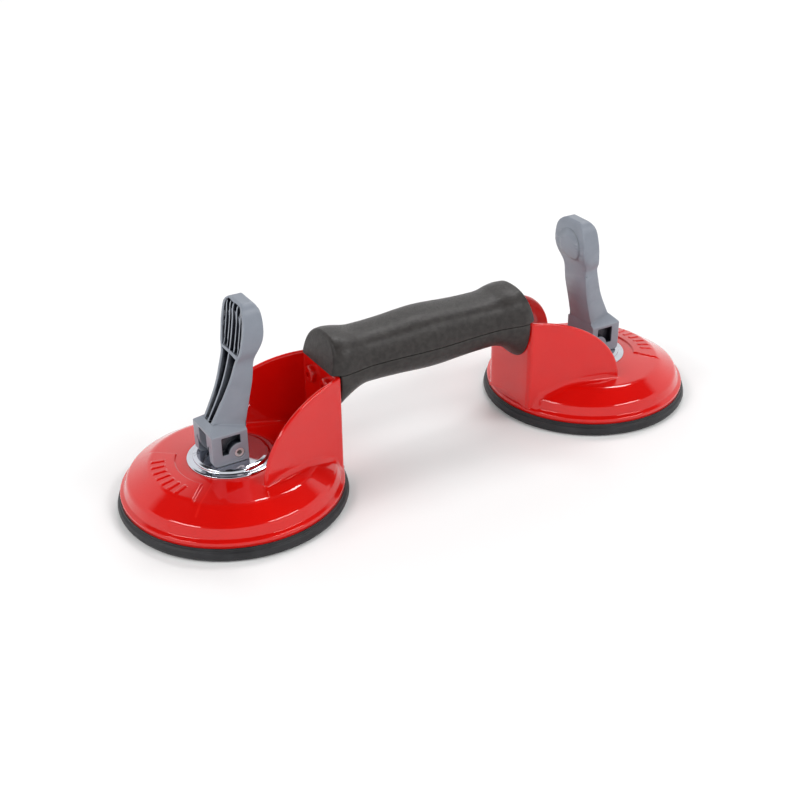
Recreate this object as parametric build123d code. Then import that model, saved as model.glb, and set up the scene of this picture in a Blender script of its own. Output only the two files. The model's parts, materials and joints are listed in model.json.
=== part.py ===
from build123d import *
import math
import os

# Twin-cup suction lifter. Millimetres, Z up. The origin is on the ground, midway between the
# cups; X runs along the handle and Y across it. Each cup is drawn about its own axis with +X
# towards the handle, then placed: the left cup as drawn, the right cup turned half a turn.
os.makedirs("parts", exist_ok=True)

# ---- overall ----
CUP_SPACING = 229.0       # distance between the two cup axes
HALF = CUP_SPACING / 2

# ---- rubber pad ----
PAD_R = 60.0              # widest radius of the lip
PAD_TOP = 7.2             # ledge that carries the shell's rim
PAD_WEB_TOP = 6.0         # top of the flat web
PAD_HOLLOW = 0.8          # depth of the hollow under the web
POCKET_R = 22.0           # pocket for the core plate
POCKET_Z = 3.5

# ---- cup shell (casting) ----
RIM_R = 58.0
SHELL_T = 2.0
SHELL_HOLE_R = 18.0
SHELL_TOP = 24.4          # seat of the cam washer
WALL_T = 2.5              # side walls
BACK_T = 3.0              # back wall
BACK_X = 55.5             # outer face of the back wall, from the cup axis
BACK_HALF = 19.5          # half width of the bracket at the back wall
TIP_X = 3.5               # where the side walls run out
TIP_HALF = 35.0           # half width of the bracket there
WALL_TOP = 63.2
SCREW_Y = 8.5             # wall screws, either side of the middle
SCREW_Z = 54.0

PANEL_APEX = 7.6          # the raised panel's sides meet this far out from the cup axis
PANEL_ANGLE = 46.9        # half of the angle between them

# ---- pull mechanism ----
LIFT = 9.5                # travel of the stud
PIN_Z = 32.4              # pivot pin height with the lever up
PIN_D = 5.0
SHANK_D = 8.0
WASHER_TOP = 27.3
WASHER_R = 22.8
WASHER_STEP_R = 19.0
BUSH_R = 6.3
RUN = 0.05                # radial running clearance

# ---- lever, drawn about its pin: x = 0 at the pin, -X outwards ----
FOOT = 5.0                # pin to the foot's underside, lever up
FOOT_OUT = 14.5           # pin to the outer face, which lies down when the lever is folded
CAM_RATE = (FOOT_OUT - FOOT) / (math.pi / 2)
BLOCK_HALF = 12.0         # half width of the base block
SLOT_HALF = 4.5           # half width of the stud slot
LOBE_HALF = 7.0           # the rounded cam lobes reach this far out from the middle
HUB_R = 4.95              # eye of the stud

# ---- handle ----
SEAM_Z = 63.6
GRIP_EXP = 2.4            # superellipse exponent of the grip's section
GRIP_T = 2.6              # shell wall
SHELL_SCREW_X = (-27.0, 27.0)
BAR_T = 3.0               # steel strap inside the grip
BAR_HALF = 9.0


def ring(points):
    """Solid of revolution about Z from (radius, height) points."""
    return revolve(Plane.XZ * make_face(Polyline(*points, close=True)), Axis.Z)


def cyl(r, z0, z1, x=0.0, y=0.0):
    return Pos(x, y, (z0 + z1) / 2) * Cylinder(r, z1 - z0)


def cyl_y(r, y0, y1, x, z):
    return Pos(x, (y0 + y1) / 2, z) * Rot(90, 0, 0) * Cylinder(r, y1 - y0)


def cyl_x(r, x0, x1, y, z):
    return Pos((x0 + x1) / 2, y, z) * Rot(0, 90, 0) * Cylinder(r, x1 - x0)


def block(x0, x1, y0, y1, z0, z1):
    return Pos((x0 + x1) / 2, (y0 + y1) / 2, (z0 + z1) / 2) * Box(x1 - x0, y1 - y0, z1 - z0)


def plate_xz(points, y0, y1):
    """Prism across Y from (x, z) points."""
    face = make_face(Polyline(*[(x, 0, z) for x, z in points], close=True))
    return Pos(0, y1, 0) * extrude(face, amount=y1 - y0, dir=(0, -1, 0))


def side_v(x):
    """Half width of the bracket at x, measured to its outer face."""
    k = (TIP_HALF - BACK_HALF) / (BACK_X - TIP_X)
    return BACK_HALF + (BACK_X - x) * k


# ------------------------------------------------------------------ cup pieces
def rubber_pad():
    pad = ring([(0, PAD_HOLLOW), (50.5, PAD_HOLLOW), (53, 0), (57, 0), (59.0, 0.7),
                (PAD_R, 1.9), (PAD_R, 2.9), (59.3, 4.8), (58.2, 5.4), (58.4, 6.0), (58.4, PAD_TOP),
                (56.0, PAD_TOP), (55.6, 8.4), (54.4, 9.4), (53.4, 9.2), (52.6, 6.6),
                (50, PAD_WEB_TOP), (0, PAD_WEB_TOP)])
    pad -= cyl(POCKET_R, POCKET_Z, PAD_WEB_TOP + 1)
    for r in (30.0, 38.0, 46.0):
        pad -= ring([(r - 0.8, PAD_HOLLOW - 1), (r - 0.8, 1.5), (r + 0.8, 1.5),
                     (r + 0.8, PAD_HOLLOW - 1)])
    return pad


def disc_outer():
    return [(SHELL_HOLE_R, SHELL_TOP), (24.5, SHELL_TOP), (42.5, 22.4), (45.2, 21.6),
            (53.2, 16.9), (54.6, 15.4), (56.0, 11.4), (57.3, 10.4), (RIM_R, 9.4), (RIM_R, 7.2)]


def disc_inner():
    return [(56.1, 7.2), (55.95, 8.8), (54.4, 10.4), (52.9, 14.4), (51.9, 15.3),
            (44.3, 19.7), (42.2, 20.4), (24.5, SHELL_TOP - SHELL_T),
            (SHELL_HOLE_R, SHELL_TOP - SHELL_T)]


def bracket_walls():
    """Back wall and the two flared side walls, before they are trimmed to the disc."""
    outer = [(BACK_X, -BACK_HALF), (BACK_X, BACK_HALF), (TIP_X - 3, side_v(TIP_X - 3)),
             (TIP_X - 3, -side_v(TIP_X - 3))]
    prism = extrude(make_face(Polyline(*outer, close=True)), amount=WALL_TOP)
    prism = fillet(prism.edges().filter_by(Axis.Z).group_by(Axis.X)[-1], 3.0)
    t = WALL_T * 1.045
    xi = BACK_X - BACK_T
    inner = [(xi, -side_v(xi) + t), (xi, side_v(xi) - t), (TIP_X - 6, side_v(TIP_X - 6) - t),
             (TIP_X - 6, -side_v(TIP_X - 6) + t)]
    core = extrude(make_face(Polyline(*inner, close=True)), amount=WALL_TOP)
    core = fillet(core.edges().filter_by(Axis.Z).group_by(Axis.X)[-1], 2.0)
    return prism - core


def free_edge(n=9):
    """Free edge of the side walls: a quarter of an ellipse from the disc to the back wall."""
    pts = []
    for i in range(n + 1):
        a = math.radians(90.0 * i / n)
        pts.append((57.0 - 54.0 * math.cos(a), 0, 23.0 + (WALL_TOP - 23.0) * math.sin(a)))
    return pts


def cup_shell():
    disc = ring(disc_outer() + disc_inner())
    pts = free_edge()
    outline = make_face(Spline(*pts) + Polyline(pts[-1], (70, 0, WALL_TOP), (70, 0, 7.2),
                                                 (3, 0, 7.2), pts[0]))
    envelope = Pos(0, 60, 0) * extrude(outline, amount=120, dir=(0, -1, 0))
    walls = bracket_walls() & envelope
    # the walls stop on the disc: nothing of them hangs inside it
    under = ring([(0, 0), (56.1, 0)] + disc_inner() + [(0, SHELL_TOP - SHELL_T)])
    walls -= under
    round_rim = ring([(0, 0), (RIM_R, 0), (RIM_R, 100), (0, 100)])
    shell = disc + (walls & round_rim)
    # raised panel with plain bars on the outer side of the disc
    panel = ring([(28.6, 20), (28.6, 24.3), (29.2, 24.72), (42.1, 23.27), (48.9, 19.1),
                  (47.5, 18.5), (42, 20.5)])
    spread = (80 - PANEL_APEX) * math.tan(math.radians(PANEL_ANGLE))
    wedge = make_face(Polyline((-PANEL_APEX, 0), (-80, -spread), (-80, spread), close=True))
    panel = panel & extrude(wedge, amount=60)
    panel -= under
    shell += panel
    bar_ring = ring([(33.8, 22.5), (33.8, 24.8), (40.8, 24.0), (40.8, 22.5)])
    for i in range(7):
        shell += bar_ring & Rot(0, 0, 180 + (i - 3) * 8.0) * block(20, 50, -1.1, 1.1, 20, 30)
    shell -= cyl(SHELL_HOLE_R, 0, 100)
    for s in (-1, 1):
        shell -= cyl_x(2.7, 50, 60, s * SCREW_Y, SCREW_Z)
    return shell


def core_plate():
    return ring([(4.05, POCKET_Z), (POCKET_R - 0.6, POCKET_Z), (POCKET_R, POCKET_Z + 0.6),
                 (POCKET_R, PAD_WEB_TOP - 0.6), (POCKET_R - 0.6, PAD_WEB_TOP),
                 (4.05, PAD_WEB_TOP)])


def pull_stud():
    stud = cyl(4.0, POCKET_Z, PAD_WEB_TOP) + cyl(8.5, PAD_WEB_TOP, 7.6)
    stud += cyl(SHANK_D / 2, 7.6, PIN_Z)
    stud += cyl_y(HUB_R, -4.4, 4.4, 0, PIN_Z)
    return stud - cyl_y(PIN_D / 2, -10, 10, 0, PIN_Z)


def cam_washer():
    body = ring([(BUSH_R + RUN, WASHER_TOP), (WASHER_STEP_R - 1.0, WASHER_TOP),
                 (WASHER_STEP_R, WASHER_TOP - 0.9), (WASHER_STEP_R + 0.3, 25.4),
                 (WASHER_R - 0.5, 25.3), (WASHER_R, 24.9), (WASHER_R, SHELL_TOP),
                 (SHELL_HOLE_R - 0.2, SHELL_TOP), (SHELL_HOLE_R - 0.6, 25.7),
                 (BUSH_R + RUN, 25.7)])
    # reliefs for the square corners of the lever's cheeks, hidden under the foot
    for s in (-1, 1):
        y0, y1 = sorted((s * (LOBE_HALF - 0.15), s * (BLOCK_HALF + 0.25)))
        body -= block(-13.7, 3.7, y0, y1, 20, 40)
    return body


def guide_bush():
    bush = ring([(SHANK_D / 2 + RUN, 18.2), (BUSH_R - 0.5, 18.2), (BUSH_R, 18.8),
                 (BUSH_R, 21.6), (12.5, 21.6), (12.5, 23.2), (BUSH_R, 23.4),
                 (BUSH_R, WASHER_TOP), (SHANK_D / 2 + RUN, WASHER_TOP)])
    return bush


def release_spring():
    wire, r0, r1 = 0.7, 16.2, 9.2
    z0, z1 = PAD_WEB_TOP + wire, 21.6 - wire
    cone = math.degrees(math.atan((r1 - r0) / (z1 - z0)))
    path = Helix(pitch=(z1 - z0) / 3.5, height=z1 - z0, radius=r0, center=(0, 0, z0),
                 cone_angle=cone)
    profile = Plane(origin=path @ 0, z_dir=path % 0) * Circle(wire)
    coil = sweep(profile, path=path)
    ends = Pos(0, 0, z0) * Torus(r0, wire) + Pos(0, 0, z1) * Torus(r1, wire)
    return coil + ends


# ------------------------------------------------------------------ cam lever
def lever_curves():
    """Outer and inner edges of the neck and head, x against height above the ground."""
    outer = [(-11.0, 48.0), (-9.0, 51.7), (-5.2, 59.0), (-1.7, 66.7), (1.4, 75.5),
             (3.8, 84.0), (5.4, 91.7), (6.4, 98.0), (7.1, 103.2), (7.7, 107.2), (9.4, 109.9)]
    inner = [(15.0, 110.1), (16.6, 107.6), (17.1, 102.5), (17.0, 96.0), (15.8, 90.0),
             (12.8, 83.0), (11.0, 72.0), (8.5, 60.0), (6.3, 51.0), (5.0, 45.0)]
    return outer, inner


LEVER_FRONT = [  # height, half width at the outer plane, half width at the inner plane
    (45.0, 5.6, 13.0), (50.0, 5.3, 12.9), (58.0, 4.9, 12.0), (66.0, 5.2, 11.4),
    (75.5, 6.9, 10.8),
    (82.2, 9.0, 10.9), (84.2, 11.3, 11.4), (89.0, 12.7, 12.7), (95.0, 13.4, 13.4),
    (101.0, 13.0, 13.0), (105.2, 11.7, 11.7), (108.2, 9.3, 9.3), (110.1, 5.4, 5.4),
    (110.8, 0.0, 0.0)]


def lever_front(grow=0.0):
    """Lever seen along X. The neck widens inwards, and the head stands proud of it."""
    faces = []
    for x, col in ((-12.0, 1), (18.0, 2)):
        right = [(x, row[col] + grow, row[0]) for row in LEVER_FRONT[:-1]]
        left = [(x, -y, z) for x, y, z in reversed(right)]
        top = Spline(*(right + [(x, 0, LEVER_FRONT[-1][0])] + left))
        faces.append(make_face(top + Line(top @ 1, top @ 0)))
    return loft(faces, ruled=True)


def cam_profile(steps=10):
    """Lobe outline whose reach below the pin grows evenly with the lever's angle."""
    pts = []
    for i in range(steps + 1):
        a = math.radians(90.0 * i / steps)
        reach = FOOT + CAM_RATE * a
        pts.append((-(reach * math.sin(a) + CAM_RATE * math.cos(a)),
                    PIN_Z - (reach * math.cos(a) - CAM_RATE * math.sin(a))))
    return pts


def cam_lever():
    outer, inner = lever_curves()
    side = Spline(*[(x, 0, z) for x, z in outer])
    back = Spline(*[(x, 0, z) for x, z in inner])
    rim = make_face(side + Line(side @ 1, back @ 0) + back + Line(back @ 1, side @ 0))
    web = Pos(0, 20, 0) * extrude(rim, amount=40, dir=(0, -1, 0))
    stem = web & lever_front()
    # hollow on the outer side of neck and head, with one long rib, a cross rib and head ribs
    hollow = Pos(-3.2, 0, 0) * web & lever_front(-2.2) & block(-40, 40, -20, 20, 47.5, 108.5)
    hollow -= block(-40, 40, -0.6, 0.6, 0, 200)
    hollow -= block(-40, 40, -20, 20, 82.6, 84.2)
    for y in (-8.0, -4.0, 4.0, 8.0):
        hollow -= Pos(0.4, 0, 0) * web & block(-40, 40, y - 0.5, y + 0.5, 84.0, 200)
    stem -= hollow
    # base block: cheeks with a square outer corner, inner lobes that carry the load
    z0 = PIN_Z - FOOT
    cam = cam_profile()
    lobes = make_face(Polyline((5.0, 0, z0), (cam[0][0], 0, cam[0][1]))
                      + Spline(*[(x, 0, z) for x, z in cam])
                      + Polyline((cam[-1][0], 0, cam[-1][1]), (-FOOT_OUT, 0, 45.0),
                                 (-11.0, 0, 48.6), (5.0, 0, 48.6), (5.0, 0, z0)))
    base = Pos(0, LOBE_HALF, 0) * extrude(lobes, amount=2 * LOBE_HALF, dir=(0, -1, 0))
    cheek_line = [(5.0, z0), (-FOOT_OUT + 2.0, z0), (-FOOT_OUT + 0.6, z0 + 0.6),
                  (-FOOT_OUT, z0 + 2.0), (-FOOT_OUT, 45.0), (-11.0, 48.6), (5.0, 48.6)]
    for s in (-1, 1):
        y0, y1 = sorted((s * LOBE_HALF, s * BLOCK_HALF))
        cheek = plate_xz(cheek_line, y0, y1)
        # recess in the cheek, left standing around the pin
        w0, w1 = sorted((s * 7.6, s * 13.0))
        window = block(-9.2, 1.0, w0, w1, z0 + 5.8, 43.0)
        base += cheek - (window - cyl_y(5.9, -20, 20, 0, PIN_Z))
        roof = make_face(Polyline((-30, s * 6.2, 48.9), (-30, s * 12.1, 44.6), (-30, s * 20, 44.6),
                                  (-30, s * 20, 60), (-30, s * 6.2, 60), close=True))
        base -= extrude(roof, amount=60, dir=(1, 0, 0))
    # slot for the stud, open below and on the outer side
    slot = block(-20, 10, -SLOT_HALF, SLOT_HALF, 0, PIN_Z + HUB_R + 0.3)
    slot += block(-20, -6, -SLOT_HALF, SLOT_HALF, 30, 43.6)
    lever = (base + stem) - slot
    # thumb pad that follows the inner side of the head
    lever += Pos(0.6, 0, 0) * web & Pos(14.0, 0, 95.6) * Rot(0, 90, 0) * Cylinder(9.2, 12)
    return lever - cyl_y(PIN_D / 2 + RUN, -20, 20, 0, PIN_Z)


def pivot_pin():
    pin = cyl_y(PIN_D / 2, -11.4, 11.4, 0, PIN_Z)
    return pin - cyl_y(1.4, -20, 20, 0, PIN_Z)


# ------------------------------------------------------------------ handle pieces
GRIP_STATIONS = (0.0, 9.0, 18.0, 27.0, 36.0, 44.0, 51.5, 58.5, 66.0)


def smooth(t):
    t = min(max(t, 0.0), 1.0)
    return t * t * (3 - 2 * t)


def grip_size(x):
    """Half width, rise of the upper half and drop of the lower half at station x."""
    swell = math.exp(-(x / 19.0) ** 2)
    w = 17.1 + 1.5 * swell + 2.6 * smooth((x - 38.0) / 19.0) - 3.2 * smooth((x - 57.0) / 9.0)
    rise = 14.7 + 1.7 * swell + 2.4 * smooth((x - 38.0) / 26.0)
    drop = 14.2 + 1.2 * swell + 11.4 * (max(x - 39.0, 0.0) / 20.0) ** 1.9
    return w, rise, drop


def grip_section(x, w, h, up):
    """Half of a superellipse standing on the seam plane, as a face at station x."""
    n = 6
    pts = []
    for i in range(2 * n + 1):
        a = math.pi * i / (2 * n)
        c, s = math.cos(a), math.sin(a)
        y = math.copysign(abs(c) ** (2 / GRIP_EXP), c) * w
        pts.append((x, y, SEAM_Z + up * abs(s) ** (2 / GRIP_EXP) * h))
    arc = Spline(*pts, tangents=[(0, 0, up), (0, 0, -up)])
    return make_face(arc + Line(arc @ 1, arc @ 0))


def grip_half(up, inset=0.0):
    faces = []
    for x in [-x for x in reversed(GRIP_STATIONS[1:])] + list(GRIP_STATIONS):
        w, rise, drop = grip_size(abs(x))
        faces.append(grip_section(x, w - inset, (rise if up > 0 else drop) - inset, up))
    return loft(faces)


def handle_upper_shell():
    body = grip_half(1)
    core = grip_half(1, GRIP_T) & block(-57.0, 57.0, -40, 40, 0, 200)
    shell = body - core
    for s in (-1, 1):
        shell -= Pos(s * 63.4, 0, SEAM_Z) * Rot(0, -s * 14, 0) * block(min(0, s * 30),
                                                                      max(0, s * 30), -40, 40,
                                                                      -40, 40)
    for x in SHELL_SCREW_X:
        shell += cyl(4.2, SEAM_Z, SEAM_Z + 13.4, x) - cyl(1.6, 0, SEAM_Z + 9.5, x)
    # an internal rib each side of the middle, and a step that seats on the bracket's edge
    for x in (-9.0, 9.0):
        shell += block(x - 0.9, x + 0.9, -15.0, 15.0, SEAM_Z, SEAM_Z + 10.0)
    for s in (-1, 1):
        x0, x1 = sorted((s * (HALF - BACK_X - 0.15), s * 80))
        shell -= block(x0, x1, -40, 40, 0, SEAM_Z + 0.05)
    return shell


def handle_lower_shell():
    end = HALF - BACK_X - 0.02
    body = grip_half(-1) & block(-end, end, -60, 60, 0, 200)
    core = grip_half(-1, GRIP_T) & block(-end - 1, end + 1, -60, 60, 0, 200)
    shell = body - core
    for x in SHELL_SCREW_X:
        post = cyl(4.2, SEAM_Z - 13.0, SEAM_Z, x)
        shell += post
        shell -= cyl(1.9, 0, 100, x)
        shell -= cyl(3.6, 0, SEAM_Z - 8.6, x)
    return shell


def handle_strap():
    """Steel strap inside the grip with tabs turned down against both back walls."""
    end = HALF - BACK_X - 0.02
    zt = SEAM_Z - 1.2
    strap = block(-end, end, -BAR_HALF, BAR_HALF, zt - BAR_T, zt)
    for s in (-1, 1):
        x0, x1 = sorted((s * end, s * (end - BAR_T)))
        strap += block(x0, x1, -12.5, 12.5, SCREW_Z - 5.0, zt)
        for t in (-1, 1):
            strap -= cyl_x(2.55, min(x0, x1) - 1, max(x0, x1) + 1, t * SCREW_Y, SCREW_Z)
    for x in SHELL_SCREW_X:
        strap -= cyl(4.6, 0, 100, x)
    return strap


def hex_x(af, x0, x1, y, z):
    body = extrude(Plane.YZ * RegularPolygon(af / math.sqrt(3), 6), amount=x1 - x0)
    return Pos(x0, y, z) * body


def wall_screws():
    """Four identical button-head screws, through the back walls into the strap."""
    parts = []
    inner = HALF - (BACK_X - BACK_T)
    for s in (-1, 1):
        for t in (-1, 1):
            head = cyl_x(4.75, 0.02, 2.8, 0, 0)
            head = fillet(head.edges().group_by(Axis.X)[-1], 1.6)
            head -= hex_x(3.0, 1.2, 4.0, 0, 0)
            one = head + cyl_x(2.5, -10.6, 0.5, 0, 0)
            one = Pos(inner, t * SCREW_Y, SCREW_Z) * one
            parts.append(one if s > 0 else Rot(0, 0, 180) * one)
    return Compound(children=parts)


def wall_nuts():
    parts = []
    end = HALF - BACK_X - 0.02 - BAR_T
    for s in (-1, 1):
        for t in (-1, 1):
            one = hex_x(8.0, end - 4.0, end - 0.02, t * SCREW_Y, SCREW_Z)
            one -= cyl_x(2.52, end - 10, end + 10, t * SCREW_Y, SCREW_Z)
            parts.append(one if s > 0 else Rot(0, 0, 180) * one)
    return Compound(children=parts)


def shell_screws():
    """Two identical tapping screws that close the grip from below."""
    parts = []
    for x in SHELL_SCREW_X:
        head = cyl(3.2, SEAM_Z - 10.8, SEAM_Z - 8.62, x)
        head -= Pos(x, 0, SEAM_Z - 10.8) * Box(4.4, 0.8, 1.6)
        head -= Pos(x, 0, SEAM_Z - 10.8) * Box(0.8, 4.4, 1.6)
        parts.append(head + cyl(1.58, SEAM_Z - 9.0, SEAM_Z + 7.6, x))
    return Compound(children=parts)


# ------------------------------------------------------------------ write the pieces
CUP_PIECES = {
    "cup_shell": cup_shell, "rubber_pad": rubber_pad, "core_plate": core_plate,
    "pull_stud": pull_stud, "cam_washer": cam_washer, "guide_bush": guide_bush,
    "release_spring": release_spring, "cam_lever": cam_lever, "pivot_pin": pivot_pin}
HANDLE_PIECES = {
    "handle_upper_shell": handle_upper_shell, "handle_lower_shell": handle_lower_shell,
    "handle_strap": handle_strap, "wall_screws": wall_screws, "wall_nuts": wall_nuts,
    "shell_screws": shell_screws}

for name, make in CUP_PIECES.items():
    piece = make()
    export_step(Pos(-HALF, 0, 0) * piece, f"parts/{name}_left.step")
    export_step(Pos(HALF, 0, 0) * Rot(0, 0, 180) * piece, f"parts/{name}_right.step")
for name, make in HANDLE_PIECES.items():
    export_step(make(), f"parts/{name}.step")
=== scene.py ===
import json
import math

import bmesh
import bpy
import numpy as np
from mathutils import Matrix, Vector


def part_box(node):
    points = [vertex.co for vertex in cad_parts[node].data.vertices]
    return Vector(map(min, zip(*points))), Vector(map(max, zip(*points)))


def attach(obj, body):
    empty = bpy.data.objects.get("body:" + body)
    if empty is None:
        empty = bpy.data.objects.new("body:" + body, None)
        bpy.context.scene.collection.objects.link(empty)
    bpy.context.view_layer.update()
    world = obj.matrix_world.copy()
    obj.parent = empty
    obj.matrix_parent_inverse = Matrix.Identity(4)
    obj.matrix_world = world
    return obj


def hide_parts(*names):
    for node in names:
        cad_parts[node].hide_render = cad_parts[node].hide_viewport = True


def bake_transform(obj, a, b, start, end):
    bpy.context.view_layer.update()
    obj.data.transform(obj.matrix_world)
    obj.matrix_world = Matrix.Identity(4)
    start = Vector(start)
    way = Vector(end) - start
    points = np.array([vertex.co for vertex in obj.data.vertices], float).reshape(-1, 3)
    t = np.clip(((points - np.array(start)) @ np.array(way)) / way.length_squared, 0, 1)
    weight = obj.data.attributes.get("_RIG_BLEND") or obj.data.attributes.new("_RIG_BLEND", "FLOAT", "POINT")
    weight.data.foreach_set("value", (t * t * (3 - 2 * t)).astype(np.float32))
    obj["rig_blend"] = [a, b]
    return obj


# Twin-cup suction lifter. Shapes are worked out in millimetres about each cup's own axis,
# with +X towards the handle, and placed on the CAD cups. SIDES gives each cup's sign.
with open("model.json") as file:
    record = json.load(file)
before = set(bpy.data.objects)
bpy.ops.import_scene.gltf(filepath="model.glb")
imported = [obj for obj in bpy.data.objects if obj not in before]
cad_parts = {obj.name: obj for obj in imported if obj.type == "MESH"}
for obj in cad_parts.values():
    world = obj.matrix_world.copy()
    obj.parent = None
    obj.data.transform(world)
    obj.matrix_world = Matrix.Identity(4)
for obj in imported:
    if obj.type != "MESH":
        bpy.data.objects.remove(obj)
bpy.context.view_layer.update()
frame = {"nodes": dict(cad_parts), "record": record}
MM = 0.001
SIDES = {"left": 1.0, "right": -1.0}


def axis_x(side):
    """X of a cup's axis, in mm, from its pull stud."""
    low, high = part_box(f"pull_stud_{side}")
    return (low[0] + high[0]) / 2 / MM


def smooth(t):
    t = np.clip(t, 0.0, 1.0)
    return t * t * (3 - 2 * t)


# ------------------------------------------------------------------ mesh helpers
class Shape:
    """Vertices in mm and faces, gathered from grids and caps."""

    def __init__(self):
        self.verts, self.faces = [], []

    def grid(self, rows, wrap_rows=False, wrap_cols=True, caps=False):
        start, n, m = len(self.verts), len(rows), len(rows[0])
        for row in rows:
            self.verts += [tuple(float(c) for c in p) for p in row]
        for i in range(n if wrap_rows else n - 1):
            for j in range(m if wrap_cols else m - 1):
                a, b = i * m + j, i * m + (j + 1) % m
                c, d = ((i + 1) % n) * m + (j + 1) % m, ((i + 1) % n) * m + j
                self.faces.append((start + a, start + b, start + c, start + d))
        if caps:
            self.faces.append(tuple(start + j for j in range(m)))
            self.faces.append(tuple(start + (n - 1) * m + j for j in reversed(range(m))))
        return self

    def object(self, name, place=None, sharp=None):
        points = [place(p) if place else p for p in self.verts]
        mesh = bpy.data.meshes.new(name)
        mesh.from_pydata([(x * MM, y * MM, z * MM) for x, y, z in points], [], self.faces)
        bm = bmesh.new()
        bm.from_mesh(mesh)
        bmesh.ops.remove_doubles(bm, verts=bm.verts, dist=1e-7)
        bmesh.ops.recalc_face_normals(bm, faces=bm.faces)
        bm.to_mesh(mesh)
        bm.free()
        mesh.shade_smooth()
        if sharp:
            mesh.set_sharp_from_angle(angle=math.radians(sharp))
        obj = bpy.data.objects.new(name, mesh)
        bpy.context.collection.objects.link(obj)
        return obj


def cup_place(side):
    cx, s = axis_x(side), SIDES[side]
    return lambda p: (cx + s * p[0], s * p[1], p[2])


def rounded(points, radii, steps=6):
    """A polyline whose corners are turned into arcs of the given radii."""
    points = [np.array(p, float) for p in points]
    out = [points[0]]
    for i in range(1, len(points) - 1):
        corner = points[i]
        d0, d1 = points[i - 1] - corner, points[i + 1] - corner
        l0, l1 = np.linalg.norm(d0), np.linalg.norm(d1)
        d0, d1 = d0 / l0, d1 / l1
        half = math.acos(np.clip(d0 @ d1, -1, 1)) / 2
        if radii[i] <= 0 or half > math.radians(89.5):
            out.append(corner)
            continue
        cut = min(radii[i] / math.tan(half), 0.48 * l0, 0.48 * l1)
        r = cut * math.tan(half)
        mid = (d0 + d1) / np.linalg.norm(d0 + d1)
        centre = corner + mid * r / math.sin(half)
        v0, v1 = corner + d0 * cut - centre, corner + d1 * cut - centre
        turn = math.atan2(v0[0] * v1[1] - v0[1] * v1[0], v0 @ v1)
        for k in range(steps + 1):
            a = turn * k / steps
            c, s = math.cos(a), math.sin(a)
            out.append(centre + np.array([c * v0[0] - s * v0[1], s * v0[0] + c * v0[1]]))
    out.append(points[-1])
    return out


def lathe(profile, segments=192):
    """Closed (radius, height) profile turned about the Z axis."""
    rows = []
    for k in range(segments):
        a = 2 * math.pi * k / segments
        rows.append([(r * math.cos(a), r * math.sin(a), z) for r, z in profile])
    return Shape().grid(rows, wrap_rows=True)


def apply_modifiers(obj):
    """Replaces the object's mesh with its modified result."""
    depsgraph = bpy.context.evaluated_depsgraph_get()
    mesh = bpy.data.meshes.new_from_object(obj.evaluated_get(depsgraph), depsgraph=depsgraph)
    obj.modifiers.clear()
    old, obj.data = obj.data, mesh
    bpy.data.meshes.remove(old)


def combine(obj, others, operation, sharp=35):
    """Boolean of obj with each of the others, which are used up."""
    for other in others:
        m = obj.modifiers.new("cut", "BOOLEAN")
        m.operation, m.object, m.solver = operation, other, "MANIFOLD"
        apply_modifiers(obj)
        bpy.data.objects.remove(other)
    obj.data.shade_smooth()
    obj.data.set_sharp_from_angle(angle=math.radians(sharp))
    return obj


def block(x0, x1, y0, y1, z0, z1):
    """Cutting tool: a plain box."""
    rows = [[(x, y0, z0), (x, y1, z0), (x, y1, z1), (x, y0, z1)] for x in (x0, x1)]
    return Shape().grid(rows, caps=True)


def rod(r, z0, z1, x=0.0, y=0.0, segments=48):
    rows = []
    for z in (z0, z1):
        rows.append([(x + r * math.cos(2 * math.pi * k / segments),
                      y + r * math.sin(2 * math.pi * k / segments), z) for k in range(segments)])
    return Shape().grid(rows, caps=True)


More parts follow.
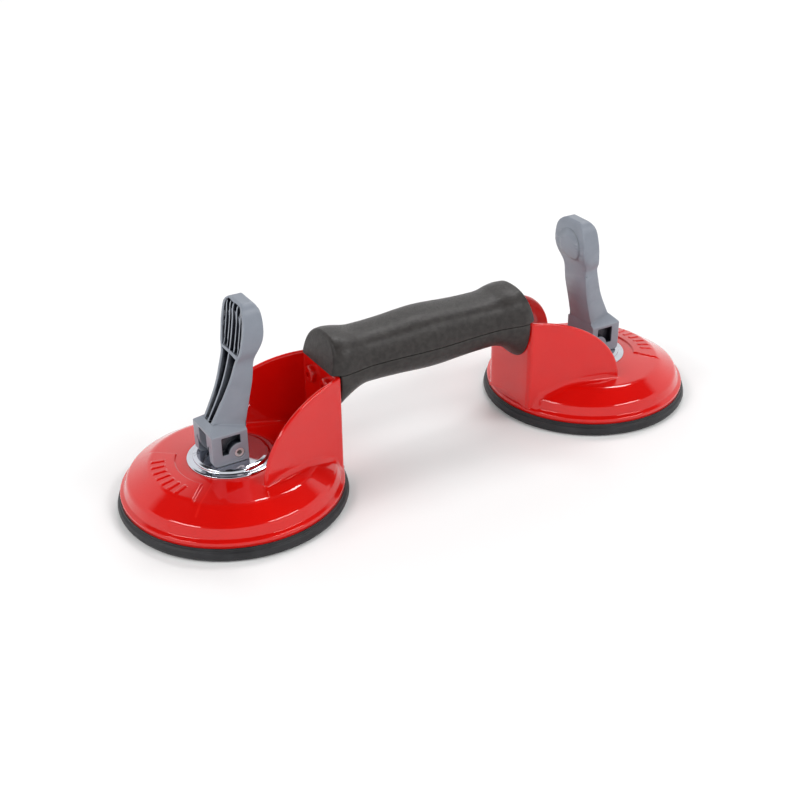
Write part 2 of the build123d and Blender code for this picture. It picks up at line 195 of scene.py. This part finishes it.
# ------------------------------------------------------------------ materials
def material(name, colour, tint, rough, rough_spread=0.06, metallic=0.0, coat=0.0,
             coat_rough=0.03, specular=0.5, tone_size=6.0, grain_size=0.6, grain=0.1,
             grain_depth=0.05, wave=0.0, wave_size=6.0, edge=None, streak=None, painted_shade=None):
    """Procedural finish. Sizes are in mm. The colour drifts to tint; edge is the colour taken on by
    sharp convex edges, and painted_shade the colour and depth of painted shade in deep slots."""
    mat = bpy.data.materials.new(name)
    mat.use_nodes = True
    tree = mat.node_tree
    tree.nodes.clear()
    node = lambda kind: tree.nodes.new(kind)
    link = tree.links.new
    out, bsdf = node("ShaderNodeOutputMaterial"), node("ShaderNodeBsdfPrincipled")
    link(bsdf.outputs[0], out.inputs[0])
    bsdf.inputs["Metallic"].default_value = metallic
    bsdf.inputs["Coat Weight"].default_value = coat
    bsdf.inputs["Coat Roughness"].default_value = coat_rough
    bsdf.inputs["Specular IOR Level"].default_value = specular
    place = node("ShaderNodeTexCoord")
    where = place.outputs["Object"]
    if streak:
        stretch = node("ShaderNodeMapping")
        stretch.inputs["Scale"].default_value = streak
        link(where, stretch.inputs["Vector"])
        where = stretch.outputs[0]

    def noise(size, detail=3.0, source=None):
        n = node("ShaderNodeTexNoise")
        n.inputs["Scale"].default_value = 1.0 / (size * MM)
        n.inputs["Detail"].default_value = detail
        link(source or where, n.inputs["Vector"])
        return n.outputs["Fac"]

    def span(value, low, high, new_low=0.0, new_high=1.0):
        m = node("ShaderNodeMapRange")
        for key, number in (("From Min", low), ("From Max", high), ("To Min", new_low),
                            ("To Max", new_high)):
            m.inputs[key].default_value = number
        link(value, m.inputs["Value"])
        return m.outputs[0]

    def mix(fac, a, b):
        m = node("ShaderNodeMix")
        m.data_type = "RGBA"
        link(fac, m.inputs[0])
        for key, value in ((6, a), (7, b)):
            if isinstance(value, tuple):
                m.inputs[key].default_value = (*value, 1.0)
            else:
                link(value, m.inputs[key])
        return m.outputs[2]

    base = mix(span(noise(tone_size), 0.35, 0.65), colour, tint)
    if edge:
        geometry = node("ShaderNodeNewGeometry")
        base = mix(span(geometry.outputs["Pointiness"], 0.53, 0.62, 0.0, 0.75), base, edge)
    # painted shade: ambient occlusion darkens the base colour in deep slots and crevices, in place of real
    # shadow
    if painted_shade:
        shade_occlusion = node("ShaderNodeAmbientOcclusion")
        shade_occlusion.samples, shade_occlusion.only_local = 8, True
        shade_occlusion.inputs["Distance"].default_value = painted_shade[1] * MM
        base = mix(span(shade_occlusion.outputs["AO"], 0.48, 0.80), painted_shade[0], base)
    link(base, bsdf.inputs["Base Color"])
    link(span(noise(grain_size, 2.0), 0.3, 0.7, rough - rough_spread, rough + rough_spread),
         bsdf.inputs["Roughness"])
    bump = node("ShaderNodeBump")
    bump.inputs["Strength"].default_value = grain
    bump.inputs["Distance"].default_value = grain_depth * MM
    link(noise(grain_size, 2.0), bump.inputs["Height"])
    if wave:
        peel = node("ShaderNodeBump")
        peel.inputs["Strength"].default_value = wave
        peel.inputs["Distance"].default_value = 0.05 * MM
        link(noise(wave_size, 1.0), peel.inputs["Height"])
        link(peel.outputs[0], bump.inputs["Normal"])
    link(bump.outputs[0], bsdf.inputs["Normal"])
    return mat


RED = material("red_enamel", (0.66, 0.0035, 0.0012), (0.61, 0.0025, 0.0010), 0.30, 0.03,
               coat=1.0, coat_rough=0.015, specular=0.05, tone_size=40, grain_size=0.5,
               grain=0.01, grain_depth=0.02, wave=0.12, wave_size=3.0, edge=(0.70, 0.01, 0.006))
RUBBER = material("black_rubber", (0.013, 0.013, 0.015), (0.022, 0.022, 0.025), 0.48, 0.08,
                  specular=0.35, tone_size=9, grain_size=0.35, grain=0.25, grain_depth=0.05,
                  wave=0.2, edge=(0.05, 0.05, 0.052))
CHROME = material("chrome", (0.60, 0.62, 0.68), (0.54, 0.56, 0.61), 0.08, 0.03, metallic=1.0,
                  tone_size=14, grain_size=0.8, grain=0.05, grain_depth=0.02, wave=0.15)
ZINC = material("zinc_steel", (0.55, 0.56, 0.57), (0.42, 0.43, 0.45), 0.32, 0.08, metallic=1.0,
                tone_size=3, grain_size=0.5, grain=0.15, edge=(0.7, 0.7, 0.7))
BRIGHT = material("bright_steel", (0.50, 0.50, 0.50), (0.38, 0.38, 0.39), 0.46, 0.06,
                  metallic=0.55, tone_size=4, grain_size=0.4, grain=0.08, streak=(1, 1, 0.15),
                  edge=(0.75, 0.75, 0.75))
ACETAL = material("acetal", (0.78, 0.77, 0.73), (0.70, 0.69, 0.65), 0.38, 0.05, specular=0.5,
                  tone_size=6, grain_size=0.5, grain=0.08)
SPRING = material("spring_steel", (0.30, 0.30, 0.31), (0.22, 0.22, 0.24), 0.3, 0.06,
                  metallic=1.0, tone_size=4, grain_size=0.3, grain=0.1)
# the lever's deep slots are darkened with painted shade from occlusion
NYLON = material("grey_nylon", (0.235, 0.260, 0.305), (0.215, 0.238, 0.280), 0.40, 0.06,
                 specular=0.40, tone_size=9, grain_size=0.45, grain=0.15, grain_depth=0.04,
                 wave=0.10, edge=(0.36, 0.39, 0.44), painted_shade=((0.004, 0.006, 0.012), 8.0))
ABS = material("black_abs", (0.022, 0.0190, 0.0180), (0.036, 0.0320, 0.0300), 0.42, 0.12,
               specular=0.30, tone_size=3, grain_size=0.7, grain=0.8, grain_depth=0.12,
               edge=(0.07, 0.066, 0.062))
BLACK_STEEL = material("black_screw", (0.03, 0.03, 0.032), (0.05, 0.05, 0.052), 0.34, 0.08,
                       metallic=0.6, tone_size=1.5, grain_size=0.3, grain=0.15,
                       edge=(0.2, 0.2, 0.21))

SLOT_LOOK = {"red_enamel": RED, "black_rubber": RUBBER, "chrome_steel": CHROME,
             "zinc_steel": ZINC, "bright_steel": BRIGHT, "acetal": ACETAL,
             "spring_steel": SPRING, "grey_nylon": NYLON, "black_abs": ABS,
             "red_screw": RED, "black_screw": BLACK_STEEL}
NODE_SLOT = {p["node"]: p["material_slot"] for p in frame["record"]["subparts"]}


def stand_for(obj, body, slot, *nodes):
    """Finishes a piece: its material, the body it rides on and the CAD nodes it replaces."""
    obj.data.materials.clear()
    obj.data.materials.append(SLOT_LOOK[slot])
    if isinstance(body, str):
        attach(obj, body)
    else:
        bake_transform(obj, *body)
    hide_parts(*nodes)


# ------------------------------------------------------------------ cup shell
RIM_R = 58.0
DISC = rounded([(18, 24.4), (24.5, 24.4), (43.6, 22.28), (54.0, 16.2), (55.9, 11.1),
                (58, 9.9), (58, 7.2)], [0, 12, 9, 4.2, 1.1, 0.9, 0], steps=8)
PANEL = rounded([(28.4, 23.97), (29.1, 24.7), (42.1, 23.27), (48.9, 19.1)],
                [0, 0.5, 5.0, 0], steps=10)
UNDER = rounded([(58, 7.2), (56.1, 7.2), (55.9, 9.2), (54.2, 10.9), (52.6, 14.9), (44.0, 19.9),
                 (24.5, 22.4), (18, 22.4)], [0, 0.3, 0.6, 0.8, 1.0, 5, 8, 0], steps=4)
WALL_TOP, BACK_X, BACK_HALF = 63.2, 55.5, 19.5
TIP_X, TIP_HALF = 3.5, 35.0
FLARE = (TIP_HALF - BACK_HALF) / (BACK_X - TIP_X)
EDGE_X, EDGE_RUN, EDGE_FOOT = 57.0, 54.0, 23.0      # the free edge: a quarter of an ellipse
PANEL_APEX, PANEL_HALF = 7.6, math.radians(46.9)
PANEL_INNER, PANEL_OUTER = PANEL[0][0], PANEL[-1][0]
BAR_STEP, BARS_EACH_SIDE = math.radians(8), 3
BAR_HALF, BAR_INNER, BAR_OUTER, BAR_RISE = 1.4, 33.4, 41.2, 0.5


def disc_z(r):
    """Height of the disc's outer surface."""
    return np.interp(np.minimum(r, 57.99), [p[0] for p in DISC], [p[1] for p in DISC])


def side_v(x):
    """Half width of the bracket at x: its walls spread away from the back wall."""
    return BACK_HALF + (BACK_X - x) * FLARE


def panel_lift(r, z):
    """How far the raised panel stands above the disc's height z at radius r."""
    if not PANEL_INNER < r < PANEL_OUTER:
        return 0.0
    return max(0.0, float(np.interp(r, [p[0] for p in PANEL], [p[1] for p in PANEL])) - z)


def bar_rise(r, off):
    """Height of the plain bars on the panel, at an angle off its middle line."""
    bar = round(off / BAR_STEP)
    if abs(bar) > BARS_EACH_SIDE:
        return 0.0
    across = abs(off - bar * BAR_STEP) * r
    ends = smooth((r - BAR_INNER) / 0.8) * smooth((BAR_OUTER - r) / 0.8)
    return BAR_RISE * smooth((BAR_HALF - across) / 0.7) * ends


def cup_disc():
    """Pressed disc with a raised panel and plain bars on its outer side."""
    fine = [math.radians(180 + 0.4 * k) for k in range(-125, 126)]
    coarse = [math.radians(230 + 1.5 * k) for k in range(1, 173)]
    angles = [a for a in fine + coarse if a < fine[0] + 2 * math.pi - 1e-3]
    rows = [(r, float(disc_z(r))) for r in
            list(np.arange(18, 28, 1.0)) + list(np.arange(28, 30, 0.2))
            + list(np.arange(30, 46, 0.4)) + list(np.arange(46, 52.0, 0.4))]
    rows += [tuple(p) for p in DISC if p[0] > 52.0]
    grid = []
    for r, z in rows:
        lift = panel_lift(r, z)
        # half the angle that the panel spans at this radius
        reach = PANEL_HALF - math.asin(PANEL_APEX * math.sin(PANEL_HALF) / r)
        row = []
        for a in angles:
            off = a - math.pi
            height = z
            if lift > 0:
                height += lift * smooth((reach - abs(off)) * r / 1.1 + 0.5)
                height += bar_rise(r, off)
            row.append((r * math.cos(a), r * math.sin(a), height))
        grid.append(row)
    for r, z in UNDER:
        grid.append([(r * math.cos(a), r * math.sin(a), z) for a in angles])
    return Shape().grid(grid, wrap_rows=True)


def bracket_stations():
    """Stations round the bracket's outer line: plan point, outward normal, thickness, rim."""
    corner = rounded([(0, -side_v(0)), (BACK_X, -BACK_HALF), (BACK_X, BACK_HALF),
                      (0, side_v(0))], [0, 3.4, 3.4, 0], steps=12)
    line = []
    for k in range(0, 45):
        x = EDGE_X - EDGE_RUN * math.cos(math.radians(2.0 * k))
        if x < corner[1][0] - 0.3:
            line.append((x, -side_v(x)))
    line += [tuple(p) for p in corner[1:14]]
    middle = [(BACK_X, y) for y in np.linspace(corner[13][1], 0, 8)[1:-1]]
    half = line + middle
    full = half + [(BACK_X, 0.0)] + [(x, -y) for x, y in reversed(half)]
    stations = []
    for i, (x, y) in enumerate(full):
        x0, y0 = full[max(i - 1, 0)]
        x1, y1 = full[min(i + 1, len(full) - 1)]
        t = np.array([x1 - x0, y1 - y0])
        t /= np.linalg.norm(t)
        back = smooth((x - 52.0) / 3.0)
        z = WALL_TOP
        if x < EDGE_X:
            fall = ((EDGE_X - x) / EDGE_RUN) ** 2
            z = EDGE_FOOT + (WALL_TOP - EDGE_FOOT) * math.sqrt(max(0.0, 1 - fall))
        stations.append([np.array([x, y]), np.array([t[1], -t[0]]), 2.5 + 0.5 * back, z])
    return stations


def bracket():
    """Side walls and back wall with a fully rounded rim."""
    stations = bracket_stations()
    # the rim runs straight down into the disc at both tips
    tips = [[[*station[:3], z] for z in (20.6, 21.8)] for station in (stations[0], stations[-1])]
    path = tips[0] + stations + list(reversed(tips[1]))
    rows = []
    for i, (p, n, t, z) in enumerate(path):
        rr = t / 2
        mid = np.append(p - n * rr, z)
        a, b = path[max(i - 1, 0)], path[min(i + 1, len(path) - 1)]
        tangent = np.append(b[0] - b[1] * rr, b[3]) - np.append(a[0] - a[1] * rr, a[3])
        tangent /= np.linalg.norm(tangent)
        along = np.array([-n[1], n[0], 0.0])
        rise, run = tangent[2], tangent @ along
        if i <= len(tips[0]):
            rise, run = 1.0, 0.0
        if i >= len(path) - 1 - len(tips[1]):
            rise, run = -1.0, 0.0
        size = math.hypot(rise, run)
        inward = along * rise / size + np.array([0, 0, -run / size])
        out = np.append(n, 0.0)
        centre = mid + inward * rr
        row = []
        for k in range(17):
            phi = math.pi * k / 16
            row.append(centre + rr * (math.cos(phi) * out - math.sin(phi) * inward))
        for sign in (1, -1):
            top = centre + sign * rr * out
            foot = min(float(disc_z(np.hypot(top[0], top[1]))) - 0.7, top[2] - 0.2)
            step = min(0.5, (top[2] - foot) / 3)
            support = [np.array([top[0], top[1], h]) for h in (top[2] - step, foot + step, foot)]
            row = list(reversed(support)) + row if sign > 0 else row + support
        for q in row:
            r = math.hypot(q[0], q[1])
            if r > RIM_R - 0.05:
                q[:2] *= (RIM_R - 0.05) / r
        rows.append(row)
    return Shape().grid(rows, wrap_cols=True, caps=True)


def foot_fillet():
    """Concave fillet where one side wall and half the back wall stand on the disc."""
    stations = bracket_stations()
    half = stations[:len(stations) // 2 + 1]
    outer, inner = [], []
    for p, n, t, _ in half:
        lead = smooth((p[0] - 3.0) / 10.0)
        q = p + (np.array([1.25, 0.3]) if p[0] < 4 else 0)
        outer.append((q, n, 1.1 + 2.1 * lead))
        inner.append((q - n * t, -n, 1.0 + 1.4 * lead))
    tip_centre = (outer[0][0] + inner[0][0]) / 2
    start = outer[0][1]
    turn = []
    for k in range(1, 12):
        a = -math.pi * k / 12
        c, s = math.cos(a), math.sin(a)
        n = np.array([c * start[0] - s * start[1], s * start[0] + c * start[1]])
        turn.append((tip_centre + n * 1.25, n, 1.1))
    path = list(reversed(outer)) + turn + inner
    rows = []
    for p, n, radius in path:
        r0 = math.hypot(*p)
        reach = radius
        while reach > 0.3 and math.hypot(*(p + n * reach)) > 57.0:
            reach -= 0.1
        z0 = float(disc_z(r0))
        edge = p + n * reach
        a = np.array([p[0], p[1], z0 + reach])
        e = np.array([edge[0], edge[1], float(disc_z(math.hypot(*edge)))])
        c = np.array([p[0], p[1], z0])
        row = [a - np.append(n * 0.4, 0.0)]
        for k in range(9):
            t = k / 8
            row.append((1 - t) ** 2 * a + 2 * t * (1 - t) * c + t * t * e)
        row.append(e - np.array([0, 0, 0.5]))
        row.append(c - np.append(n * 0.4, 0.8))
        rows.append(row)
    return Shape().grid(rows, wrap_cols=True, caps=True)


def join(objects, name):
    """One object from several that share their place."""
    bm = bmesh.new()
    for o in objects:
        bm.from_mesh(o.data)
    mesh = bpy.data.meshes.new(name)
    bm.to_mesh(mesh)
    bm.free()
    for o in objects:
        bpy.data.objects.remove(o)
    obj = bpy.data.objects.new(name, mesh)
    bpy.context.collection.objects.link(obj)
    return obj


def cup_shell(side):
    place = cup_place(side)
    fillet = foot_fillet()
    mirror = Shape()
    mirror.verts = [(x, -y, z) for x, y, z in fillet.verts]
    mirror.faces = list(fillet.faces)
    parts = [cup_disc().object("a", place), bracket().object("b", place, 50),
             fillet.object("c", place, 60), mirror.object("d", place, 60)]
    shell = join(parts, f"cup_shell_look_{side}")
    weighted = shell.modifiers.new("weighted", "WEIGHTED_NORMAL")
    weighted.keep_sharp = True
    stand_for(shell, "frame", "red_enamel", f"cup_shell_{side}")


# ------------------------------------------------------------------ other cup pieces
def rubber_pad(side):
    top = rounded([(22, 3.5), (22, 6), (52.4, 6.2), (53.4, 9.1), (54.6, 9.2), (55.9, 8.0),
                   (56.3, 7.2), (58.5, 7.15), (58.3, 5.6), (59.4, 4.9), (60, 2.6), (59.2, 0.7),
                   (57, 0), (53, 0), (50.5, 0.8)],
                  [0, 0.4, 0.8, 0.4, 0.5, 0.3, 0.2, 0.3, 0.5, 0.7, 1.4, 0.8, 0.6, 0.6, 0.5],
                  steps=5)
    profile = [(0.001, 3.5)] + [tuple(p) for p in top]
    for r in (46.0, 38.0, 30.0):
        profile += [tuple(p) for p in rounded(
            [(r + 3, 0.8), (r + 1.1, 0.8), (r + 0.8, 1.5), (r - 0.8, 1.5), (r - 1.1, 0.8),
             (r - 3, 0.8)], [0, 0.3, 0.3, 0.3, 0.3, 0], steps=3)]
    profile += [(20, 0.8), (10, 0.8), (0.001, 0.8)]
    dense = []
    for (r0, z0), (r1, z1) in zip(profile, profile[1:] + profile[:1]):
        n = max(1, int(abs(r1 - r0) / 3))
        dense += [(r0 + (r1 - r0) * k / n, z0 + (z1 - z0) * k / n) for k in range(n)]
    pad = lathe(dense, 180).object(f"rubber_pad_look_{side}", cup_place(side), 50)
    cx = axis_x(side) * MM
    stand_for(pad, ("frame", f"stud_{side}", (cx, 0, 0), (cx, 0, 0.02)), "black_rubber",
              f"rubber_pad_{side}")
    weights = pad.data.attributes["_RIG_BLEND"].data
    for v, w in zip(pad.data.vertices, weights):
        r = math.hypot(v.co.x - cx, v.co.y) / MM
        w.value = 1.0 - float(smooth((r - 23.0) / 28.0))


def cam_washer(side):
    profile = rounded([(6.3, 25.7), (6.3, 27.3), (17.6, 27.3), (19.4, 26.9), (19.7, 25.5),
                       (22.0, 25.4), (22.8, 25.1), (22.8, 24.4), (17.8, 24.4), (17.4, 25.7)],
                      [0, 0.2, 1.4, 1.0, 0.6, 0.8, 0.35, 0.1, 0.2, 0], steps=6)
    washer = lathe([tuple(p) for p in profile]).object(f"cam_washer_look_{side}",
                                                       cup_place(side))
    cuts = [block(-12.9, 3.4, y0, y1, 20, 40).object("cut", cup_place(side))
            for y0, y1 in ((-12.25, -6.85), (6.85, 12.25))]
    combine(washer, cuts, "DIFFERENCE", 40)
    stand_for(washer, "frame", "chrome_steel", f"cam_washer_{side}")


def release_spring(side):
    # a cone that narrows upwards, with one flat turn at each end
    wire, r0, r1, z0, z1, turns, steps = 0.7, 16.2, 9.2, 6.7, 20.9, 5.5, 40
    rows = []
    for k in range(int(turns * steps) + 1):
        a = 2 * math.pi * k / steps
        climb = np.clip((k / steps - 1.0) / (turns - 2.0), 0, 1)
        r = r0 + (r1 - r0) * climb
        centre = np.array([r * math.cos(a), r * math.sin(a), z0 + (z1 - z0) * climb])
        out = np.array([math.cos(a), math.sin(a), 0])
        rows.append([centre + wire * (math.cos(b) * out + math.sin(b) * np.array([0, 0, 1.0]))
                     for b in np.linspace(0, 2 * math.pi, 11)[:-1]])
    spring = Shape().grid(rows, caps=True).object(f"release_spring_look_{side}",
                                                  cup_place(side), 60)
    cx = axis_x(side) * MM
    stand_for(spring, ("frame", f"stud_{side}", (cx, 0, z1 * MM), (cx, 0, z0 * MM)),
              "spring_steel", f"release_spring_{side}")
    for v, w in zip(spring.data.vertices, spring.data.attributes["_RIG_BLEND"].data):
        w.value = float(np.clip((z1 - v.co.z / MM) / (z1 - z0), 0, 1))


HEAD_Z, HEAD_FOOT = 96.5, 84.3      # middle and lower end of the lever's head


def cam_lever(side):
    """Moulded lever: the CAD lever's form, its edges softened outside the ribbed hollow."""
    source = frame["nodes"][f"cam_lever_{side}"]
    mesh = source.data.copy()
    lever = bpy.data.objects.new(f"cam_lever_look_{side}", mesh)
    bpy.context.collection.objects.link(lever)
    bm = bmesh.new()
    bm.from_mesh(mesh)
    bmesh.ops.remove_doubles(bm, verts=bm.verts, dist=2e-6)
    bmesh.ops.dissolve_limit(bm, angle_limit=math.radians(0.6), verts=bm.verts, edges=bm.edges)
    weight = bm.edges.layers.float.new("bevel_weight_edge")
    place = source.matrix_world
    for edge in bm.edges:
        x, y, z = place @ ((edge.verts[0].co + edge.verts[1].co) / 2) / MM
        in_head = z > HEAD_FOOT and math.hypot(y, z - HEAD_Z) < 11.9
        in_neck = 49.0 < z <= HEAD_FOOT and abs(y) < 4.4 + 0.3 * max(0.0, z - 76.0)
        bend = edge.calc_face_angle(0.0)
        if bend > math.radians(38) and not in_head and not in_neck:
            edge[weight] = 1.0
    bm.to_mesh(mesh)
    bm.free()
    bevel = lever.modifiers.new("edges", "BEVEL")
    bevel.limit_method = "WEIGHT"
    bevel.width, bevel.segments = 0.40 * MM, 2
    bevel.use_clamp_overlap, bevel.harden_normals = False, True
    bevel.miter_outer = "MITER_ARC"
    apply_modifiers(lever)
    stand_for(lever, f"lever_{side}", "grey_nylon", f"cam_lever_{side}")


# ------------------------------------------------------------------ handle
SEAM_Z, GRIP_EXP, WALL, LIP = 63.6, 2.4, 2.6, 0.45
UPPER_END, LOWER_END, END_ROUND = 63.4, 58.98, 1.4
TILT = math.tan(math.radians(14))
SCREW_X = 27


def grip_size(x):
    """Half width, rise of the upper half and drop of the lower half at station x."""
    x = abs(x)
    swell = math.exp(-(x / 19.0) ** 2)
    w = 17.1 + 1.5 * swell + 2.6 * smooth((x - 38) / 19) - 3.2 * smooth((x - 57) / 9)
    rise = 14.7 + 1.7 * swell + 2.4 * smooth((x - 38) / 26)
    drop = 14.2 + 1.2 * swell + 11.4 * (max(x - 39.0, 0.0) / 20.0) ** 1.9
    return float(w), float(rise), float(drop)


def half_section(w, h, up, lip=0.0, n=44):
    """Half of a superellipse on the seam plane. A lip leaves a narrow groove along the seam."""
    pts = [(w - 2.0 * lip, 0.0), (w - 1.8 * lip, 0.2), (w - 0.5 * lip, 0.25)] if lip else []
    for k in range(n + 1):
        a = math.pi * k / n
        y = math.copysign(abs(math.cos(a)) ** (2 / GRIP_EXP), math.cos(a)) * w
        z = abs(math.sin(a)) ** (2 / GRIP_EXP) * h
        if not lip or z > lip:
            pts.append((y, z))
    if lip:
        pts += [(-w + 0.5 * lip, 0.25), (-w + 1.8 * lip, 0.2), (-w + 2.0 * lip, 0.0)]
    return [(y, SEAM_Z + up * z) for y, z in pts]


def core(xs, end, up):
    """Cutting tool for a shell's inside, WALL smaller all round and open past the seam."""
    rows = []
    for x in xs:
        w, rise, drop = grip_size(min(abs(x), end))
        h = rise if up > 0 else drop
        arch = half_section(w - WALL, h - WALL, up, n=24)
        past = SEAM_Z - up
        rows.append([(x, y, z) for y, z in [(w - WALL, past)] + arch + [(-w + WALL, past)]])
    return Shape().grid(rows, caps=True).object("core")


def upper_shell():
    end, q = UPPER_END, END_ROUND
    stations = []
    for k in range(9):
        e = q * (1 - math.cos(math.pi / 2 * k / 8))
        stations.append((end - e, q - math.sqrt(max(0.0, q * q - (q - e) ** 2))))
    stations += [(x, 0.0) for x in np.linspace(end - q - 1.2, 0, 46)]
    rows = []
    for sign in (-1, 1):
        part = []
        for x, inset in stations:
            w, rise, _ = grip_size(x)
            lean = smooth((x - 40) / 15)
            part.append([(sign * (x - lean * TILT * (z - SEAM_Z)), y, z)
                         for y, z in half_section(w - inset, rise - inset, 1, LIP)])
        rows += part if sign < 0 else list(reversed(part))[1:]
    body = Shape().grid(rows, caps=True).object("handle_upper_shell_look")
    combine(body, [core(np.linspace(-57, 57, 39), end, 1)], "DIFFERENCE")
    screws = (-SCREW_X, SCREW_X)
    combine(body, [rod(4.2, SEAM_Z, SEAM_Z + 13.4, x).object("boss") for x in screws], "UNION")
    combine(body, [rod(1.6, SEAM_Z - 1, SEAM_Z + 9.5, x).object("hole") for x in screws],
            "DIFFERENCE")
    stand_for(body, "frame", "black_abs", "handle_upper_shell")


def lower_shell():
    end = LOWER_END
    xs = [-end, -end + 0.25] + list(np.linspace(-end + 0.6, end - 0.6, 84)) + [end - 0.25, end]
    rows = []
    for x in xs:
        w, _, drop = grip_size(x)
        cut = 0.5 * (1 - min(1.0, (end - abs(x)) / 0.6)) ** 2
        rows.append([(x, y, z) for y, z in half_section(w - cut, drop - cut, -1, LIP)])
    body = Shape().grid(rows, caps=True).object("handle_lower_shell_look")
    combine(body, [core([-end - 1] + xs[1:-1] + [end + 1], end, -1)], "DIFFERENCE")
    screws = (-SCREW_X, SCREW_X)
    combine(body, [rod(4.2, SEAM_Z - 13.0, SEAM_Z - 0.2, x).object("post") for x in screws],
            "UNION")
    tools = [rod(1.9, 40, SEAM_Z + 1, x).object("hole") for x in screws]
    tools += [rod(3.6, 40, SEAM_Z - 8.6, x).object("bore") for x in screws]
    combine(body, tools, "DIFFERENCE")
    stand_for(body, "frame", "black_abs", "handle_lower_shell")


# ------------------------------------------------------------------ build
for side in SIDES:
    cup_shell(side)
    rubber_pad(side)
    cam_washer(side)
    release_spring(side)
    cam_lever(side)
upper_shell()
lower_shell()
for name, obj in frame["nodes"].items():
    obj.data.materials.clear()
    obj.data.materials.append(SLOT_LOOK[NODE_SLOT[name]])

# ------------------------------------------------------------------ floor, light, camera
FLOOR_HALF, FLOOR_Z = 6000, -0.05       # mm; just under the pads, so that the faces don't fight
LAMP_DISTANCE, LAMP_SIZE = 4, (2.0, 0.5)
AIM = (0, 0, 0.02)
AZIMUTH, ELEVATION, DISTANCE = math.radians(-31.52), math.radians(30.70), 0.71184


def pale_floor():
    steps = np.linspace(-FLOOR_HALF, FLOOR_HALF, 13)
    rows = [[(x, y, FLOOR_Z) for y in steps] for x in steps]
    floor = Shape().grid(rows, wrap_cols=False).object("floor")
    paper = material("pale_floor", (0.93, 0.93, 0.93), (0.92, 0.92, 0.92), 0.7, 0.05,
                     specular=0.1, tone_size=400, grain_size=2.0, grain=0.02)
    floor.data.materials.append(paper)


def studio_world():
    """White walls all round, with a dark ceiling from about 40 degrees up."""
    world = bpy.data.worlds.new("studio")
    bpy.context.scene.world = world
    world.use_nodes = True
    tree = world.node_tree
    coord = tree.nodes.new("ShaderNodeTexCoord")
    split = tree.nodes.new("ShaderNodeSeparateXYZ")
    ramp = tree.nodes.new("ShaderNodeValToRGB")
    background = tree.nodes["Background"]
    tree.links.new(coord.outputs["Generated"], split.inputs[0])
    tree.links.new(split.outputs[2], ramp.inputs[0])
    tree.links.new(ramp.outputs[0], background.inputs[0])
    wall, ceiling = ramp.color_ramp.elements
    wall.position, wall.color = 0.63, (1, 1, 1, 1)
    ceiling.position, ceiling.color = 0.70, (0.05, 0.05, 0.05, 1)
    background.inputs[1].default_value = 1.04


def softbox(name, azimuth, elevation, power):
    """Long soft light aimed at the object from the given direction, in degrees."""
    a, e = math.radians(azimuth), math.radians(elevation)
    place = Vector((LAMP_DISTANCE * math.cos(a) * math.cos(e),
                    LAMP_DISTANCE * math.sin(a) * math.cos(e), LAMP_DISTANCE * math.sin(e)))
    lamp = bpy.data.lights.new(name, "AREA")
    lamp.shape, lamp.energy = "RECTANGLE", power
    lamp.size, lamp.size_y = LAMP_SIZE
    obj = bpy.data.objects.new(name, lamp)
    obj.location = place
    obj.rotation_euler = (Vector(AIM) - place).to_track_quat("-Z", "Y").to_euler()
    bpy.context.collection.objects.link(obj)


def main_camera():
    data = bpy.data.cameras.new("camera")
    data.sensor_width, data.lens = 36.0, 56.67
    data.shift_x, data.shift_y = -0.02646, 0.04626
    camera = bpy.data.objects.new("camera", data)
    camera.location = (DISTANCE * math.sin(AZIMUTH) * math.cos(ELEVATION),
                       -DISTANCE * math.cos(AZIMUTH) * math.cos(ELEVATION),
                       DISTANCE * math.sin(ELEVATION))
    camera.rotation_euler = (-camera.location).to_track_quat("-Z", "Y").to_euler()
    bpy.context.collection.objects.link(camera)
    bpy.context.scene.camera = camera


pale_floor()
studio_world()
softbox("softbox_back", azimuth=42, elevation=55, power=50)
softbox("softbox_front", azimuth=-53, elevation=50, power=46)
softbox("softbox_left", azimuth=178, elevation=50, power=46)
main_camera()
bpy.context.scene.view_settings.view_transform = "Standard"
